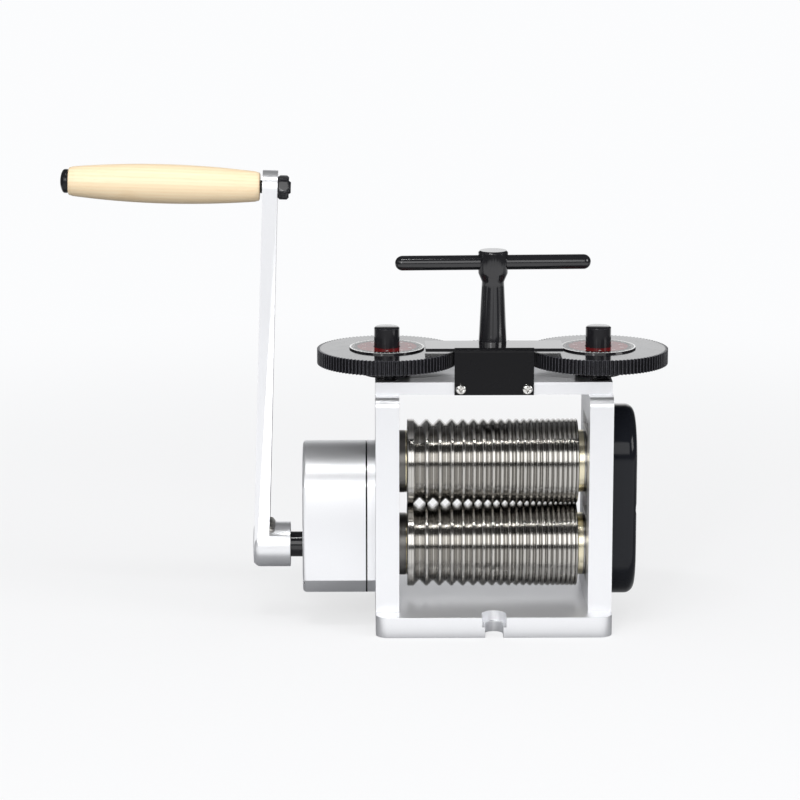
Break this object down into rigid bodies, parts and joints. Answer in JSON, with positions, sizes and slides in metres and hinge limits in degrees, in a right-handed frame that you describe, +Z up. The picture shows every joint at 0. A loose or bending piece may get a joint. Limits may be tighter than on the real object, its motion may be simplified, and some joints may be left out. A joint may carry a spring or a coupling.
{
  "type": "jewellers rolling mill",
  "caption": "Hand-cranked bench rolling mill for wire: grooved rolls between side plates, a geared screw-down with a T-handle, a reduction gearbox and a crank with a wooden grip.",
  "frame": {"origin": "centre of the base plate's underside, midway between the side plates", "axes": "+X along the rolls, away from the crank; +Y away from the operator; +Z up"},
  "size_m": [0.2828, 0.0794, 0.2164],
  "materials": {
    "silver_paint": "satin silver paint",
    "ground_steel": "ground and polished steel",
    "spring_steel": "plain spring steel",
    "bronze": "turned bronze",
    "black_steel": "polished black oxide",
    "guard_paint": "satin black",
    "nickel": "bright nickel plate",
    "dial_face": "printed white dial with a red ring",
    "cover_plastic": "glossy moulded black",
    "wood": "pale varnished wood"
  },
  "bodies": {
    "frame": {"base_plate": "silver_paint", "side_plate_screws": "black_steel", "left_side_plate": "silver_paint", "right_side_plate": "silver_paint", "top_plate": "silver_paint", "top_plate_screws": "black_steel", "gear_guard": "guard_paint", "guard_screws": "nickel", "lower_left_block": "ground_steel", "lower_right_block": "ground_steel", "lower_left_bush": "bronze", "lower_right_bush": "bronze", "left_lift_spring": "spring_steel", "right_lift_spring": "spring_steel", "gear_cover": "cover_plastic", "gear_cover_screws": "black_steel", "gearbox_back_plate": "silver_paint", "gearbox_housing": "silver_paint", "gearbox_screws": "black_steel", "crank_bush": "bronze", "countershaft_pin": "ground_steel"},
    "t_handle": {"tee_spindle": "black_steel", "tee_bar": "black_steel", "spindle_ring": "spring_steel", "centre_gear": "black_steel", "centre_gear_set_screw": "black_steel"},
    "left_dial_gear_set": {"left_dial_gear": "black_steel", "left_dial": "dial_face"},
    "right_dial_gear_set": {"right_dial_gear": "black_steel", "right_dial": "dial_face"},
    "left_screw": {"left_pressure_screw": "black_steel"},
    "right_screw": {"right_pressure_screw": "black_steel"},
    "upper_bearings": {"upper_left_block": "ground_steel", "upper_right_block": "ground_steel", "upper_left_bush": "bronze", "upper_right_bush": "bronze"},
    "upper_roll_set": {"upper_roll": "ground_steel", "upper_roll_gear": "ground_steel", "upper_gear_ring": "spring_steel"},
    "lower_roll_set": {"lower_roll": "ground_steel", "lower_roll_gear": "ground_steel", "lower_gear_ring": "spring_steel", "driven_gear": "ground_steel", "driven_gear_ring": "spring_steel"},
    "countershaft": {"countershaft_gear": "ground_steel"},
    "crank": {"crank_shaft": "black_steel", "crank_arm": "silver_paint", "crank_set_screw": "black_steel", "handle_bolt": "black_steel", "handle_nut": "black_steel"},
    "grip": {"wooden_grip": "wood"}
  },
  "joints": [
    {"name": "crank_turn", "type": "hinge", "parent": "frame", "child": "crank", "pos_m": [-0.1, 0, 0.0351], "axis": [1, 0, 0], "continuous": true},
    {"name": "grip_spin", "type": "hinge", "parent": "crank", "child": "grip", "pos_m": [-0.10344, 0, 0.20562], "axis": [0.9995, 0, -0.0314], "continuous": true},
    {"name": "countershaft_turn", "type": "hinge", "parent": "frame", "child": "countershaft", "pos_m": [-0.07, 0, 0.0591], "axis": [1, 0, 0], "continuous": true},
    {"name": "lower_roll_turn", "type": "hinge", "parent": "frame", "child": "lower_roll_set", "pos_m": [0, 0, 0.0351], "axis": [1, 0, 0], "continuous": true},
    {"name": "upper_bearing_slide", "type": "slide", "parent": "frame", "child": "upper_bearings", "axis": [0, 0, 1], "range_m": [0, 0.003], "deforming": ["left_lift_spring", "right_lift_spring"]},
    {"name": "upper_roll_turn", "type": "hinge", "parent": "upper_bearings", "child": "upper_roll_set", "pos_m": [0, 0, 0.0752], "axis": [1, 0, 0], "continuous": true},
    {"name": "t_handle_turn", "type": "hinge", "parent": "frame", "child": "t_handle", "pos_m": [0, 0, 0.12], "axis": [0, 0, -1], "range_deg": [0, 1594]},
    {"name": "left_dial_gear_turn", "type": "hinge", "parent": "frame", "child": "left_dial_gear_set", "pos_m": [-0.0495, 0, 0.126], "axis": [0, 0, 1], "range_deg": [0, 865]},
    {"name": "left_screw_turn", "type": "hinge", "parent": "upper_bearings", "child": "left_screw", "pos_m": [-0.0495, 0, 0.126], "axis": [0, 0, 1], "range_deg": [0, 865]},
    {"name": "right_dial_gear_turn", "type": "hinge", "parent": "frame", "child": "right_dial_gear_set", "pos_m": [0.0495, 0, 0.126], "axis": [0, 0, 1], "range_deg": [0, 865]},
    {"name": "right_screw_turn", "type": "hinge", "parent": "upper_bearings", "child": "right_screw", "pos_m": [0.0495, 0, 0.126], "axis": [0, 0, 1], "range_deg": [0, 865]}
  ],
  "couplings": [
    {"joint": "countershaft_turn", "follows": "crank_turn", "ratio": -0.6},
    {"joint": "lower_roll_turn", "follows": "crank_turn", "ratio": 0.4},
    {"joint": "upper_roll_turn", "follows": "crank_turn", "ratio": -0.4},
    {"joint": "t_handle_turn", "follows": "upper_bearing_slide", "rad_per_m": 9273.1},
    {"joint": "left_dial_gear_turn", "follows": "upper_bearing_slide", "rad_per_m": 5026.5},
    {"joint": "left_screw_turn", "follows": "upper_bearing_slide", "rad_per_m": 5026.5},
    {"joint": "right_dial_gear_turn", "follows": "upper_bearing_slide", "rad_per_m": 5026.5},
    {"joint": "right_screw_turn", "follows": "upper_bearing_slide", "rad_per_m": 5026.5}
  ]
}
